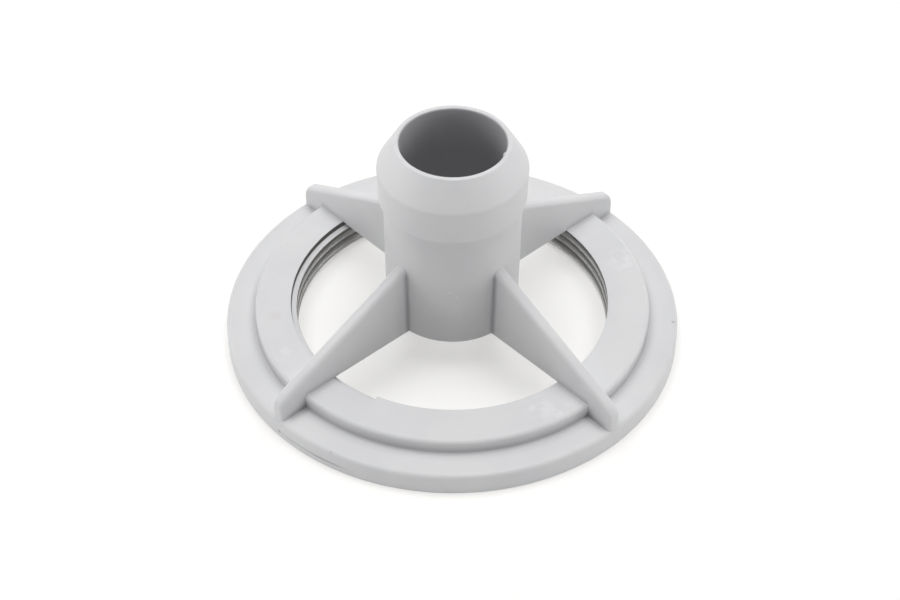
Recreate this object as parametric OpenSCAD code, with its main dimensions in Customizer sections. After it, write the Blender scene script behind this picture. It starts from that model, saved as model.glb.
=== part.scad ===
// Filter fixing nut: a moulded ring nut with an internal thread, and a central tube on four ribs

/* [Ring] */
// Outside diameter of the ring
ring_d = 100; // [92:1:140]
// Height of the flange at the rim
flange_h = 5; // [3:0.1:6.5]
// Full height of the ring at its raised inner step
ring_h = 8.4; // [7.5:0.1:12]
// Outside diameter of the raised step
step_d = 87; // [80:0.5:90]
// Radius along the top edge of the flange
rim_round = 0.9; // [0.3:0.1:1.4]
// Radius along the top edge of the step
step_round = 1.2; // [0.3:0.1:1.6]
// Fillet between the flange and the step
step_fillet = 0.5; // [0.2:0.1:1]
// Radius along the bottom edge of the rim
foot_round = 0.4; // [0.2:0.1:1]

/* [Thread] */
// Diameter at the crests of the internal thread
thread_minor_d = 68.8; // [60:0.1:72]
// Depth of the thread groove
thread_depth = 1.3; // [0.6:0.1:2]
// Rise of the thread in one turn
thread_pitch = 2.25; // [2:0.05:3]
// Height of the flat on a crest
crest_flat = 1; // [0.5:0.05:1.1]
// Height of the flat at the bottom of the groove
root_flat = 0.85; // [0.4:0.05:0.9]
// Direction from the axis in which the groove ends, counted from +X towards +Y
thread_end_angle = 244.3; // [190:0.1:260]
// Height of the lead-in chamfer round the bottom of the hole
entry_h = 1.2; // [0.4:0.1:1.6]
// Width of the lead-in chamfer
entry_w = 1.7; // [0.4:0.1:2.2]

/* [Tube] */
// Diameter of the tube's bore
bore_d = 22.4; // [14:0.1:23]
// Height of the tube's lip above the ring's underside
tube_top = 52; // [48:0.5:70]
// Diameter of the shoulder's small end, at the lip
shoulder_d = 24.6; // [24.2:0.1:28]
// Height of the corner between the shoulder and the collar
shoulder_bottom = 45.8; // [42:0.1:47]
// Outside diameter of the collar at the shoulder
collar_d = 31.9; // [31:0.1:36]
// Outside diameter of the collar at its lower edge
collar_foot_d = 31.3; // [30.6:0.1:31.8]
// Height of the collar's lower edge
collar_bottom = 38; // [30:0.5:41]
// Diameter of the stem under the collar
stem_d = 29.5; // [28:0.1:30.4]
// Diameter of the stem at its lower end
stem_foot_d = 29; // [27:0.1:29.4]
// Radius around the lip, inside and outside
lip_round = 0.4; // [0.2:0.05:0.5]

/* [Ribs] */
// Number of ribs
rib_count = 4; // [3:1:6]
// Thickness of a rib at its foot
rib_foot_t = 3.3; // [2.8:0.1:4]
// Thickness of a rib along its top
rib_top_t = 2.8; // [2:0.1:3]
// Height where a rib's top meets the tube
rib_inner_h = 26.4; // [20:0.2:32]
// Height of a rib's top at its outer end, before the corner is rounded
rib_outer_h = 9.8; // [9:0.1:13]
// Radius along the top edges of a rib
rib_edge_round = 0.6; // [0.2:0.1:0.9]
// Radius of the corner at a rib's outer end
rib_end_round = 2.4; // [0.5:0.1:3]
// Distance from the rim back to a rib's outer end
rib_inset = 0.3; // [0.1:0.1:1]

/* [Hidden] */
$fn = 96;
plastic = "lightgrey";
cut_over = 1;

ring_r = ring_d / 2;
step_r = step_d / 2;
thread_minor_r = thread_minor_d / 2;
thread_major_r = thread_minor_r + thread_depth;
entry_r = thread_minor_r + entry_w;
bore_r = bore_d / 2;
shoulder_r = shoulder_d / 2;
collar_r = collar_d / 2;
collar_foot_r = collar_foot_d / 2;
stem_r = stem_d / 2;
stem_foot_r = stem_foot_d / 2;

// The groove ends bluntly just under the top face, so that it breaks through that face, and starts
// one turn below the underside. Its flanks run on past the crests into the open hole
thread_lead_in = 0.6;
thread_end_drop = 0.2;
thread_steps = 60;
groove_end_z = ring_h - thread_end_drop;
groove_turns = groove_end_z / thread_pitch + 1;
groove_steps = ceil(groove_turns * thread_steps);
groove_mouth = thread_pitch - crest_flat;
flank_lean = (groove_mouth - root_flat) / 2 / thread_depth;
groove_top = groove_mouth / 2 + flank_lean * thread_lead_in;

// The tube and the ribs start level with the top face of the ring
stem_bottom = ring_h;
shoulder_taper = (collar_r - shoulder_r) / (tube_top - shoulder_bottom);

// A rib runs from the middle of the tube's wall to just inside the rim
rib_root_r = (bore_r + stem_foot_r) / 2;
rib_end_r = ring_r - rib_inset;
rib_fall = (rib_inner_h - rib_outer_h) / (rib_end_r - stem_r);
rib_slope_angle = atan(rib_fall);
// Its foot is sunk into the ring, outside the thread
rib_sunk_z = flange_h / 2;
rib_sunk_r = (thread_major_r + step_r) / 2;
rib_depth = (rib_inner_h - stem_bottom) * cos(rib_slope_angle);
rib_draft = (rib_foot_t - rib_top_t) / 2 / rib_depth;
rib_length = (rib_end_r - rib_root_r) / cos(rib_slope_angle) + rib_depth;

function rib_top(r) = rib_inner_h - (r - stem_r) * rib_fall;

// A circle of radius r that touches a level top and a flank which starts at half width w
// and leans out by lean for each unit of depth: its centre, and where it touches the flank
function corner_x(w, lean, r) = w + lean * r - r * sqrt(1 + lean * lean);
function corner_touch(w, lean, r) = [
    corner_x(w, lean, r) + r / sqrt(1 + lean * lean),
    -r + r * lean / sqrt(1 + lean * lean)
];

// A bar from the axis side out to width w, with its outer corners rounded
module bar_section(w, h, top_r, foot_r) {
    square([w - foot_r, h - top_r]);
    translate([0, foot_r]) square([w - top_r, h - foot_r]);
    translate([0, foot_r]) square([w, h - top_r - foot_r]);
    translate([w - top_r, h - top_r]) circle(top_r);
    translate([w - foot_r, foot_r]) circle(foot_r);
}

module fillet_section(r) {
    difference() {
        translate([-cut_over, -cut_over]) square(r + cut_over);
        translate([r, r]) circle(r);
    }
}

module entry_section() {
    polygon([
        [thread_minor_r, entry_h],
        [entry_r, 0],
        [entry_r, -cut_over],
        [thread_minor_r - cut_over, -cut_over],
        [thread_minor_r - cut_over, entry_h]
    ]);
}

module ring_section() {
    difference() {
        union() {
            translate([thread_minor_r, 0])
                bar_section(ring_r - thread_minor_r, flange_h, rim_round, foot_round);
            translate([thread_minor_r, 0])
                bar_section(step_r - thread_minor_r, ring_h, step_round, foot_round);
            translate([step_r, flange_h]) fillet_section(step_fillet);
        }
        entry_section();
    }
}

// Section of the groove, square and shallow, about its middle
groove_section = [
    [thread_minor_r - thread_lead_in, -groove_top],
    [thread_major_r, -root_flat / 2],
    [thread_major_r, root_flat / 2],
    [thread_minor_r - thread_lead_in, groove_top]
];

// A point of the section, carried back down the helix by a number of turns from the groove's end
function on_helix(p, turns) = [
    p[0] * cos(thread_end_angle - 360 * turns),
    p[0] * sin(thread_end_angle - 360 * turns),
    groove_end_z + p[1] - thread_pitch * turns
];

// The thread: one right-hand groove, swept as a ring of flats from turn to turn
module thread_groove() {
    n = len(groove_section);
    last = groove_steps;
    points = [
        for (i = [0 : last], p = groove_section)
            on_helix(p, groove_turns * (1 - i / last))
    ];
    sides = [
        for (i = [0 : last - 1], j = [0 : n - 1])
            [i * n + j, i * n + (j + 1) % n, (i + 1) * n + (j + 1) % n, (i + 1) * n + j]
    ];
    start = [for (j = [n - 1 : -1 : 0]) j];
    end = [for (j = [0 : n - 1]) last * n + j];
    polyhedron(points, concat([start], sides, [end]));
}

module threaded_ring() {
    color(plastic) difference() {
        rotate_extrude() ring_section();
        thread_groove();
    }
}

module tube_section() {
    lip_x = corner_x(shoulder_r, shoulder_taper, lip_round);
    lip_touch = corner_touch(shoulder_r, shoulder_taper, lip_round);
    polygon([
        [bore_r, stem_bottom],
        [stem_foot_r, stem_bottom],
        [stem_r, collar_bottom],
        [collar_foot_r, collar_bottom],
        [collar_r, shoulder_bottom],
        [lip_touch[0], tube_top + lip_touch[1]],
        [lip_x, tube_top],
        [bore_r + lip_round, tube_top],
        [bore_r, tube_top - lip_round]
    ]);
    translate([lip_x, tube_top - lip_round]) circle(lip_round);
    translate([bore_r + lip_round, tube_top - lip_round]) circle(lip_round);
}

module centre_tube() {
    color(plastic) rotate_extrude() tube_section();
}

// Side view of a rib: level under the open window, sunk into the ring, rounded at its end
module rib_outline() {
    end_x = rib_end_r - rib_end_round;
    end_z = rib_top(end_x) - rib_end_round / cos(rib_slope_angle);
    polygon([
        [rib_root_r, stem_bottom],
        [rib_sunk_r, stem_bottom],
        [rib_sunk_r, rib_sunk_z],
        [rib_end_r, rib_sunk_z],
        [rib_end_r, end_z],
        [
            end_x + rib_end_round * sin(rib_slope_angle),
            end_z + rib_end_round * cos(rib_slope_angle)
        ],
        [rib_root_r, rib_top(rib_root_r)]
    ]);
    translate([end_x, end_z]) circle(rib_end_round);
}

// Section of a rib square to its sloping top: drafted flanks and rounded top edges
module rib_section() {
    half = rib_top_t / 2;
    edge_x = corner_x(half, rib_draft, rib_edge_round);
    touch = corner_touch(half, rib_draft, rib_edge_round);
    deep = 1.5 * rib_depth;
    foot = half + rib_draft * deep;
    polygon([
        [edge_x, 0],
        [touch[0], touch[1]],
        [foot, -deep],
        [-foot, -deep],
        [-touch[0], touch[1]],
        [-edge_x, 0]
    ]);
    for (side = [-1, 1])
        translate([side * edge_x, -rib_edge_round]) circle(rib_edge_round);
}

module rib() {
    intersection() {
        rotate([90, 0, 0]) linear_extrude(2 * rib_foot_t, center = true) rib_outline();
        translate([stem_r, 0, rib_inner_h])
            rotate([0, rib_slope_angle, 0])
                translate([-rib_depth, 0, 0])
                    rotate([90, 0, 90])
                        linear_extrude(rib_length + rib_depth) rib_section();
    }
}

module ribs() {
    color(plastic)
        for (i = [0 : rib_count - 1])
            rotate((i + 0.5) * 360 / rib_count) rib();
}

module filter_fixing_nut() {
    threaded_ring();
    centre_tube();
    ribs();
}

filter_fixing_nut();
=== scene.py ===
import bmesh
import bpy
from math import atan, ceil, cos, pi, radians, sin, tan
from mathutils import Matrix, Vector


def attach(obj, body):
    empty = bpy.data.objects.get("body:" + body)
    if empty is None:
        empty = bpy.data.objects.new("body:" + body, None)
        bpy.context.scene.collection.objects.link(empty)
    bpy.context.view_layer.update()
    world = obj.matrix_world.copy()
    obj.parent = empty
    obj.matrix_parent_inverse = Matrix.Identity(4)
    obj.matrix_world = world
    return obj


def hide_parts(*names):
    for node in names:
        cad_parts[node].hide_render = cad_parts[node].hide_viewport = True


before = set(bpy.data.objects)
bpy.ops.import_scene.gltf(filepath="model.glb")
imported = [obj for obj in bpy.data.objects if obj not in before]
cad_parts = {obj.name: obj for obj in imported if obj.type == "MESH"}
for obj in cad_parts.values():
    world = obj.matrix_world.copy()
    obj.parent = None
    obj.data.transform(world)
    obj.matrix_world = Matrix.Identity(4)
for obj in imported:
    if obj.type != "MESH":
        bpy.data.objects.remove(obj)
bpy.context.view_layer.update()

# Ring: the nut's screwed part, a flat flange with a raised inner step. It is moulded in one with the
# ribs and the tube from matte light grey polypropylene, and its edges keep the mould's small radii.
ring_r = 50.0
flange_h = 5.0
ring_h = 8.4
step_r = 43.5
crest_r = 34.4
entry_h = 1.2
entry_r = 36.1
turn_steps = 240


def section(corners):
    """A flat face in the XZ plane from (radius, height, rounding) corners, with the corners rounded."""
    bm = bmesh.new()
    verts = [bm.verts.new((x, 0, z)) for x, z, _ in corners]
    bm.faces.new(verts)
    for v, (x, z, rounding) in zip(verts, corners):
        if rounding:
            near = [e.other_vert(v).co - v.co for e in v.link_edges]
            reach = rounding / tan(near[0].angle(near[1]) / 2)
            bmesh.ops.bevel(bm, geom=[v], offset=reach, offset_type="OFFSET", segments=6,
                            profile=0.5, affect="VERTICES", material=-1, clamp_overlap=False)
    return bm


def close(bm):
    bmesh.ops.remove_doubles(bm, verts=bm.verts[:], dist=1e-5)
    bmesh.ops.recalc_face_normals(bm, faces=bm.faces[:])


def revolve(bm, steps):
    """Turns a section about the axis into a closed shell whose faces point outwards."""
    bmesh.ops.delete(bm, geom=bm.faces[:], context="FACES_ONLY")
    bmesh.ops.spin(bm, geom=bm.verts[:] + bm.edges[:], cent=(0, 0, 0), axis=(0, 0, 1),
                   angle=2 * pi, steps=steps, use_merge=True)
    close(bm)
    return bm


def shape(bm, name):
    """Keeps a mesh modelled in millimetres as an object in metres."""
    bmesh.ops.scale(bm, vec=(0.001, 0.001, 0.001), verts=bm.verts[:])
    mesh = bpy.data.meshes.new(name)
    bm.to_mesh(mesh)
    bm.free()
    ob = bpy.data.objects.new(name, mesh)
    bpy.context.scene.collection.objects.link(ob)
    return ob


def combine(ob, tools, operation):
    """Adds shapes to an object, or cuts them out of it, and removes them."""
    for tool in tools:
        mod = ob.modifiers.new("join", "BOOLEAN")
        mod.object = tool
        mod.operation = operation
        mod.solver = "EXACT"
        view = bpy.context.evaluated_depsgraph_get()
        mesh = bpy.data.meshes.new_from_object(ob.evaluated_get(view))
        ob.modifiers.clear()
        ob.data = mesh
        bpy.data.objects.remove(tool)


nut = shape(revolve(section([
    (crest_r, entry_h, 0.2),
    (entry_r, 0, 0.2),
    (ring_r, 0, 0.25),
    (ring_r, flange_h, 1.0),
    (step_r, flange_h, 0.8),
    (step_r, ring_h, 0.9),
    (crest_r, ring_h, 0),
]), turn_steps), "filter_nut")

# Thread: one right-hand groove inside the ring, formed by an unscrewing core. Near its end it is open to
# the top face, where the last crest would be too thin to mould, and it stops there in a blunt end.
thread_pitch = 2.25
thread_depth = 1.3
crest_flat = 1.0
root_flat = 0.85
crest_nose = 0.22
root_round = 0.42
thread_end = radians(244.3)
thread_end_drop = 0.2
lead_in = 0.4
mouth_half = (thread_pitch - crest_flat) / 2
turns = (ring_h - thread_end_drop) / thread_pitch + 1
groove = section([
    (crest_r - lead_in, -mouth_half - lead_in - crest_nose, 0),
    (crest_r + crest_nose / 2, -mouth_half, crest_nose),
    (crest_r + thread_depth, -root_flat / 2, root_round),
    (crest_r + thread_depth, root_flat / 2, root_round),
    (crest_r + crest_nose / 2, mouth_half, crest_nose),
    (crest_r - lead_in, mouth_half + lead_in + crest_nose, 0),
])
bmesh.ops.translate(groove, vec=(0, 0, ring_h - thread_end_drop - thread_pitch * turns),
                    verts=groove.verts[:])
bmesh.ops.rotate(groove, cent=(0, 0, 0), verts=groove.verts[:],
                 matrix=Matrix.Rotation(thread_end - turns * 2 * pi, 3, "Z"))
turn_sweeps = 150
open_turns = 115 / 360


def sweep(bm, geom, sweeps):
    """Carries a section up the helix and gives back the section at its new end."""
    return bmesh.ops.spin(bm, geom=geom, cent=(0, 0, 0), axis=(0, 0, 1),
                          dvec=(0, 0, thread_pitch / turn_sweeps),
                          angle=sweeps / turn_sweeps * 2 * pi, steps=sweeps)["geom_last"]


open_sweeps = round(open_turns * turn_sweeps)
end = sweep(groove, groove.verts[:] + groove.edges[:] + groove.faces[:],
            round(turns * turn_sweeps) - open_sweeps)
end = sweep(groove, end, 1)
end_verts = [g for g in end if isinstance(g, bmesh.types.BMVert)]
middle = sum(v.co.z for v in end_verts) / len(end_verts)
bmesh.ops.translate(groove, vec=(0, 0, ring_h - middle), verts=[v for v in end_verts if v.co.z > middle])
sweep(groove, end, open_sweeps - 1)
close(groove)
combine(nut, [shape(groove, "groove")], "DIFFERENCE")

# Tube: the spigot that the filter's tail is pushed on to, with a coned shoulder and a thicker collar
# round its top. The bore runs straight through and the lip is fully rounded.
bore_r = 11.2
tube_top = 52.0
tube = shape(revolve(section([
    (bore_r, ring_h, 0.2),
    (14.5, ring_h, 0.3),
    (14.75, 38.0, 0),
    (15.65, 38.0, 0.2),
    (15.95, 45.8, 1.6),
    (12.3, tube_top, 0.4),
    (bore_r, tube_top, 0.4),
    (bore_r, 50.8, 0),
]), turn_steps), "tube")

# Ribs: four drafted blades that carry the tube over the open middle. Each runs out over the step and
# the flange to a rounded end just inside the rim.
rib_top_half = 1.4
rib_foot_half = 1.65
rib_inner_h = 26.4
rib_outer_h = 10.1
rib_rim = 1.08
rib_end_rim = 0.6
rib_start = 12.8
rib_end = 49.7
rib_fall = (rib_inner_h - rib_outer_h) / (rib_end - 14.75)
rib_depth = (rib_inner_h - ring_h) * cos(atan(rib_fall))


def rib(turn):
    def top(x):
        return rib_inner_h - (x - 14.75) * rib_fall

    bm = bmesh.new()
    rounding = bm.edges.layers.float.new("bevel_weight_edge")
    outline = [(rib_start, ring_h), (38.0, ring_h), (38.0, 2.5), (rib_end, 2.5),
               (rib_end, top(rib_end)), (rib_start, top(rib_start))]
    face = bm.faces.new([bm.verts.new((x, -1, z)) for x, z in outline])
    side = bmesh.ops.extrude_face_region(bm, geom=[face])["geom"]
    bmesh.ops.translate(bm, vec=(0, 2, 0), verts=[g for g in side if isinstance(g, bmesh.types.BMVert)])
    close(bm)
    corner = [e for e in bm.edges if all(v.co.x > rib_end - 0.01 and v.co.z > 5 for v in e.verts)]
    bmesh.ops.bevel(bm, geom=corner, offset=1.9, segments=8, profile=0.5, affect="EDGES",
                    material=-1)
    for v in bm.verts:
        depth = (top(v.co.x) - v.co.z) * cos(atan(rib_fall))
        v.co.y *= rib_top_half + (rib_foot_half - rib_top_half) * depth / rib_depth
    rims = [e for e in bm.edges if abs(e.verts[0].co.y - e.verts[1].co.y) < 1
            and (min(v.co.x for v in e.verts) > rib_end - 4 and min(v.co.z for v in e.verts) > 2
                 or all(v.co.z > top(v.co.x) - 0.01 for v in e.verts))]
    rims = [e for e in rims if not all(v.co.x < rib_start + 0.01 or v.co.z < 2.6 for v in e.verts)]
    for e in rims:
        level = abs(e.verts[0].co.x - e.verts[1].co.x) / e.calc_length()
        e[rounding] = (rib_end_rim + (rib_rim - rib_end_rim) * level) / rib_rim
    bmesh.ops.rotate(bm, cent=(0, 0, 0), matrix=Matrix.Rotation(turn, 3, "Z"), verts=bm.verts[:])
    blade = shape(bm, "rib")
    mod = blade.modifiers.new("rims", "BEVEL")
    mod.limit_method = "WEIGHT"
    mod.width = rib_rim / 1000
    mod.segments = 6
    mod.use_clamp_overlap = False
    return blade


combine(nut, [tube] + [rib(radians(45 + 90 * i)) for i in range(4)], "UNION")

# Marks: what the mould and handling left. A fine parting line runs along the foot of the rim, a bit
# of flash stands on the tube's lip, and the rim has two small nicks.
line_arc = radians(236.5)
line_h = 1.75
line_depth = 0.3
wheel_r = 70.0
line_wheel = revolve(section([
    (wheel_r, line_h, 0),
    (wheel_r + 1.0, line_h + 0.35, 0),
    (wheel_r + 1.0, line_h - 0.9, 0),
]), 360)
line_shift = ring_r - line_depth - wheel_r
bmesh.ops.translate(line_wheel, vec=(line_shift * cos(line_arc), line_shift * sin(line_arc), 0),
                    verts=line_wheel.verts[:])
combine(nut, [shape(line_wheel, "parting_line")], "DIFFERENCE")


def pip(angle, radius, height, size, stretch):
    """A small pebble on the part's surface, at a direction in degrees from the axis."""
    bm = bmesh.new()
    bmesh.ops.create_icosphere(bm, subdivisions=2, radius=size)
    bmesh.ops.scale(bm, vec=(1, stretch, 1), verts=bm.verts[:])
    bmesh.ops.translate(bm, vec=(radius, 0, height), verts=bm.verts[:])
    bmesh.ops.rotate(bm, cent=(0, 0, 0), matrix=Matrix.Rotation(radians(angle), 3, "Z"),
                     verts=bm.verts[:])
    return shape(bm, "pip")


combine(nut, [pip(357.0, 49.95, 4.75, 0.3, 1.8), pip(242.0, 49.8, 4.9, 0.22, 1.3),
              pip(225.5, 50.0, 1.7, 0.25, 2.0)], "DIFFERENCE")
combine(nut, [pip(343.0, 11.25, 51.55, 0.42, 1.8)], "UNION")

mesh = nut.data
bm = bmesh.new()
bm.from_mesh(mesh)
bmesh.ops.remove_doubles(bm, verts=bm.verts[:], dist=1e-7)
print("open edges", sum(1 for e in bm.edges if len(e.link_faces) != 2), "faces", len(bm.faces), "volume", bm.calc_volume() * 1e9)
bm.to_mesh(mesh)
bm.free()
mesh.shade_smooth()
mesh.set_sharp_from_angle(angle=radians(28))


# Plastic: light grey polypropylene with the mould's fine matt grain. Handling has left pale frosted
# rubs on the step and a faint stain; the three nicks and the parting line are painted darker.
class Value:
    """One value in a shader. Python arithmetic on it adds the Math nodes that it needs."""

    def __init__(self, tree, socket=None):
        self.tree = tree
        self.socket = socket

    def node(self, kind, settings=None, given=None, output=0):
        """Adds a node: its type, its settings, then the values or links of its sockets."""
        node = self.tree.nodes.new(kind)
        for name, setting in (settings or {}).items():
            setattr(node, name, setting)
        for name, value in (given or {}).items():
            self.feed(node.inputs[name], value)
        return Value(self.tree, node.outputs[output])

    def feed(self, socket, value):
        if isinstance(value, Value):
            self.tree.links.new(value.socket, socket)
        else:
            socket.default_value = value

    def maths(self, operation, *terms):
        return self.node("ShaderNodeMath", {"operation": operation}, dict(enumerate(terms)))

    def fade(self, start, end):
        """1 up to start, 0 from end on, with a smooth change between."""
        return self.node("ShaderNodeMapRange", {"interpolation_type": "SMOOTHSTEP"},
                         {"Value": self, "From Min": start, "From Max": end,
                          "To Min": 1.0, "To Max": 0.0})

    def mixed(self, colour, other):
        """Goes from one colour to the other as this value goes from 0 to 1."""
        return self.node("ShaderNodeMix", {"data_type": "RGBA"}, {0: self, 6: colour, 7: other}, 2)

    def __add__(self, other):
        return self.maths("ADD", self, other)

    def __sub__(self, other):
        return self.maths("SUBTRACT", self, other)

    def __rsub__(self, other):
        return self.maths("SUBTRACT", other, self)

    def __mul__(self, other):
        return self.maths("MULTIPLY", self, other)

    __radd__ = __add__
    __rmul__ = __mul__


plastic = bpy.data.materials.new("grey_polypropylene")
plastic.use_nodes = True
shader = plastic.node_tree.nodes["Principled BSDF"]
start = Value(plastic.node_tree)
metres = start.node("ShaderNodeTexCoord", output="Object")
place = start.node("ShaderNodeVectorMath", {"operation": "SCALE"}, {"Vector": metres, "Scale": 1000.0})


def noise(scale, detail, at=place):
    return at.node("ShaderNodeTexNoise", given={"Vector": at, "Scale": scale, "Detail": detail})


def near(x, y, z, reach, edge=0.4):
    """A soft spot on the surface about a point: 1 inside, 0 beyond its reach."""
    away = place.node("ShaderNodeVectorMath", {"operation": "DISTANCE"},
                      {0: place, 1: (x, y, z)}, "Value")
    return away.fade(reach * (1 - edge), reach)


def distance(one, other):
    """The distance that two offsets at right angles give together."""
    return one.maths("SQRT", one * one + other * other)


def amount(offset):
    """An offset without its sign."""
    return offset.maths("ABSOLUTE", offset)


cloud = noise(0.08, 3.0).fade(0.7, 0.3)
colour = cloud.mixed((0.650, 0.651, 0.664, 1), (0.680, 0.680, 0.688, 1))

right, away, height = (place.node("ShaderNodeSeparateXYZ", given={"Vector": place}, output=axis)
                       for axis in ("X", "Y", "Z"))
from_axis = distance(right, away)
facing = start.node("ShaderNodeNewGeometry", output="Normal")
facing_up = facing.node("ShaderNodeSeparateXYZ", given={"Vector": facing}, output="Z")
# Painted light: the collar and shoulder are painted a little paler, for the side light they catch.
collar_painted_light = height.fade(37.9, 37.8) * height.fade(44.5, 46.5)
colour = (collar_painted_light * 0.2).mixed(colour, (0.76, 0.76, 0.77, 1))
# Painted shade: the bore is painted darker than the outside, and darker still from 50 mm down to 40 mm.
in_bore = from_axis.fade(11.2, 11.6)
bore_painted_shade = height.fade(40.0, 50.0).mixed((0.51, 0.51, 0.525, 1), (0.37, 0.37, 0.385, 1))
colour = in_bore.mixed(colour, bore_painted_shade)
in_thread = from_axis.fade(36.2, 36.4) * from_axis.fade(33.0, 32.0) * height.fade(8.2, 8.38)
# Painted light: below about 6.5 mm the thread is painted paler, to brighten its lower crests and ledges.
colour = (in_thread * height.fade(6.3, 6.9)).mixed(colour, (0.84, 0.83, 0.81, 1))
# Painted shade: the thread's walls that don't face up, above its lowest 1 to 3 mm, are painted nearly black.
thread_painted_shade = in_thread * facing_up.fade(0.55, 0.85) * height.fade(2.8, 1.0)
colour = (thread_painted_shade * 0.97).mixed(colour, (0.050, 0.047, 0.043, 1))

# Painted shade: where the ribs meet the ring, flange and tube, and at the step's foot, the colour is darker,
# more so on walls than on flats.
across = amount((amount(right) - amount(away)) * 0.7071)
inside_step = from_axis.fade(43.0, 43.6)
step_foot = distance(from_axis - 43.5, height - flange_h)
crease_painted_shade = (0.2 * distance(across - 1.5, height - ring_h).fade(0.1, 1.8) * inside_step * from_axis.fade(34.4, 34.0)
          + 0.3 * distance(across - 1.5, height - flange_h).fade(0.1, 1.8) * (1 - inside_step) * from_axis.fade(47.0, 49.3)
          + 0.4 * distance(across - 1.45, from_axis - 14.7).fade(0.1, 1.1) * height.fade(24.0, 26.2)
          + step_foot.fade(0.0, 2.6) * (0.18 + 0.28 * facing_up.fade(0.4, 0.8)))
colour = crease_painted_shade.mixed(colour, (0.20, 0.20, 0.225, 1))

blotch = noise(0.5, 2.0).fade(0.62, 0.40)
rubbed = (near(38.3, 13.6, 8.4, 5.5, 0.8) + near(19.6, -33.1, 8.4, 5.0, 0.8)
          + near(-35.5, -19.5, 8.4, 3.2, 0.8) + near(24.0, -33.5, 8.4, 3.5, 0.8)) * blotch
colour = (rubbed * 0.4).mixed(colour, (0.80, 0.80, 0.81, 1))

stain = near(-38.5, -7.9, 8.4, 2.0, 0.7)
colour = (stain * 0.25).mixed(colour, (0.60, 0.53, 0.54, 1))

# The three nicks and the parting line along the rim's foot are painted darker.
in_line = distance(height - line_h, from_axis - 49.8).fade(0.12, 0.3) * near(-27.6, -41.7, line_h, 8.5, 0.4)
dark_marks = (0.7 * near(-23.4, -44.1, 4.9, 0.5) + near(48.9, -2.6, 4.8, 0.5) + 0.5 * near(-35.0, -35.7, 1.7, 0.5)
        + in_line)
colour = (dark_marks * 0.55).mixed(colour, (0.30, 0.29, 0.28, 1))

grit = near(0.0, -14.6, 23.1, 0.35) + near(1.5, -14.5, 21.9, 0.3)
colour = (grit * 0.5).mixed(colour, (0.85, 0.85, 0.86, 1))

start.feed(shader.inputs["Base Color"], colour)
start.feed(shader.inputs["Roughness"], 0.46 + 0.08 * cloud + 0.2 * rubbed)
shader.inputs["IOR"].default_value = 1.49
grain = noise(2.6, 2.0) + 0.5 * noise(0.5, 2.0)
start.feed(shader.inputs["Normal"], start.node("ShaderNodeBump", given={
    "Strength": 0.12, "Distance": 0.0002, "Height": grain}))

mesh.materials.clear()
mesh.materials.append(plastic)
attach(nut, "root")
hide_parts("filter_fixing_nut")

# Floor: the plain white paper that the part lies on for its picture. To the camera it is a little
# brighter than it is lit, so that it reads as white and still keeps the part's shade.
sheet = bmesh.new()
bmesh.ops.create_grid(sheet, x_segments=1, y_segments=1, size=3.0)
floor_mesh = bpy.data.meshes.new("floor")
sheet.to_mesh(floor_mesh)
sheet.free()
floor = bpy.data.objects.new("floor", floor_mesh)
bpy.context.scene.collection.objects.link(floor)
white = bpy.data.materials.new("white_paper")
white.use_nodes = True
paper_shader = white.node_tree.nodes["Principled BSDF"]
sheet = Value(white.node_tree)
seen = (sheet.node("ShaderNodeLightPath", output="Is Camera Ray")
        + sheet.node("ShaderNodeLightPath", output="Is Glossy Ray")
        + sheet.node("ShaderNodeLightPath", output="Is Transmission Ray"))
spread = sheet.node("ShaderNodeVectorMath", {"operation": "LENGTH"},
                    {"Vector": sheet.node("ShaderNodeTexCoord", output="Object")}, "Value")
paper_lit = (0.95, 0.95, 0.95, 1)
paper_seen = (0.62, 0.616, 0.609, 1)
paper_glow = spread.fade(0.35, 0.9).mixed((1, 1, 1, 1), (0.40, 0.397, 0.390, 1))
seen.feed(paper_shader.inputs["Base Color"], seen.mixed(paper_lit, paper_seen))
seen.feed(paper_shader.inputs["Emission Color"], seen.mixed((0, 0, 0, 1), paper_glow))
paper_shader.inputs["Emission Strength"].default_value = 1.0
paper_shader.inputs["Roughness"].default_value = 1.0
paper_shader.inputs["Specular IOR Level"].default_value = 0.0
floor_mesh.materials.append(white)

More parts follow.
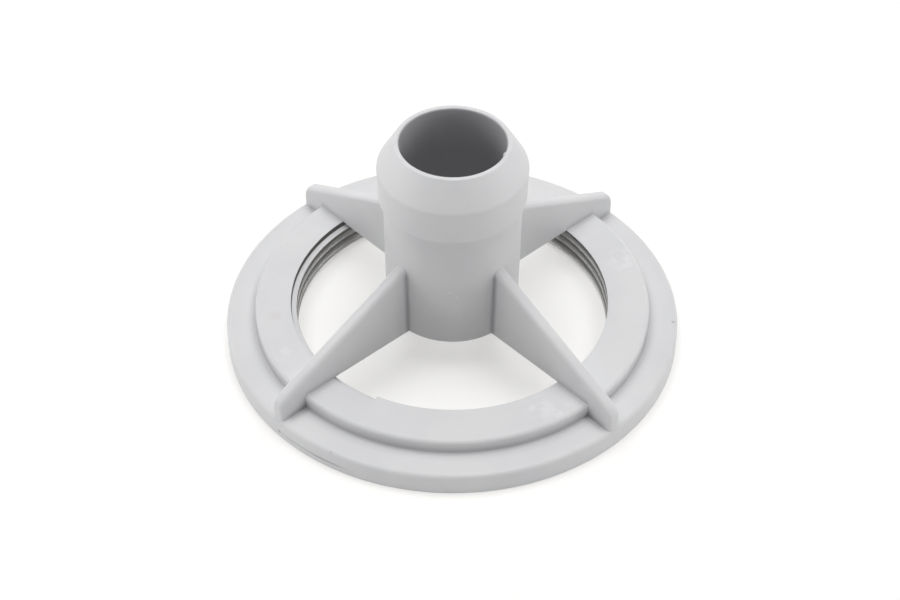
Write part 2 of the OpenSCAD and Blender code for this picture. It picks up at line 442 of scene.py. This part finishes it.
# Light: a softbox overhead and a little behind, and white boards to the left, the right and the back.
# The side of the camera stays open and dim, which leaves the walls that face it in soft shade.
world = bpy.data.worlds.new("studio")
bpy.context.scene.world = world
world.use_nodes = True
air = Value(world.node_tree)
air = air.node("ShaderNodeLightPath", output="Is Camera Ray")
air.feed(world.node_tree.nodes["Background"].inputs["Color"],
         air.mixed((0, 0, 0, 1), (1, 1, 1, 1)))

for name, spot, width, height, power in (
        ("softbox", (0.0, 0.0, 0.80), 0.95, 0.6, 6.5),
        ("high_back", (0.0, 0.6, 0.65), 0.8, 0.5, 0.8),
        ("left_board", (-1.0, 0.0, 0.25), 1.2, 0.5, 4.3),
        ("right_board", (1.0, 0.0, 0.25), 1.2, 0.5, 3.8),
        ("back_board", (0.0, 1.1, 0.25), 1.4, 0.5, 3.0),
        ("front_board", (0.0, -1.1, 0.12), 1.6, 0.24, 1.3)):
    lamp = bpy.data.lights.new(name, "AREA")
    lamp.shape = "RECTANGLE"
    lamp.size = width
    lamp.size_y = height
    lamp.energy = power
    lamp_ob = bpy.data.objects.new(name, lamp)
    bpy.context.scene.collection.objects.link(lamp_ob)
    lamp_ob.location = spot
    lamp_ob.rotation_euler = (-lamp_ob.location).to_track_quat("-Z", "Y").to_euler()
    lamp_ob.visible_camera = False

# Camera: level with the picture, a little over forty degrees above the floor.
view_turn = radians(2.17)
view_rise = radians(43.443)
view_distance = 0.410306
view_target = Vector((-0.000510, 0, 0.007260))
view_roll = radians(0.173)
camera = bpy.data.cameras.new("camera")
camera.sensor_width = 36
camera.lens = 1850 / 900 * 36
camera_ob = bpy.data.objects.new("camera", camera)
bpy.context.scene.collection.objects.link(camera_ob)
back = Vector((0, -cos(view_rise), sin(view_rise)))
camera_ob.matrix_world = (Matrix.Rotation(view_turn, 4, "Z")
                          @ Matrix.Translation(view_target + view_distance * back)
                          @ Matrix.Rotation(pi / 2 - view_rise, 4, "X")
                          @ Matrix.Rotation(view_roll, 4, "Z"))
bpy.context.scene.camera = camera_ob

bpy.context.scene.view_settings.view_transform = "Standard"
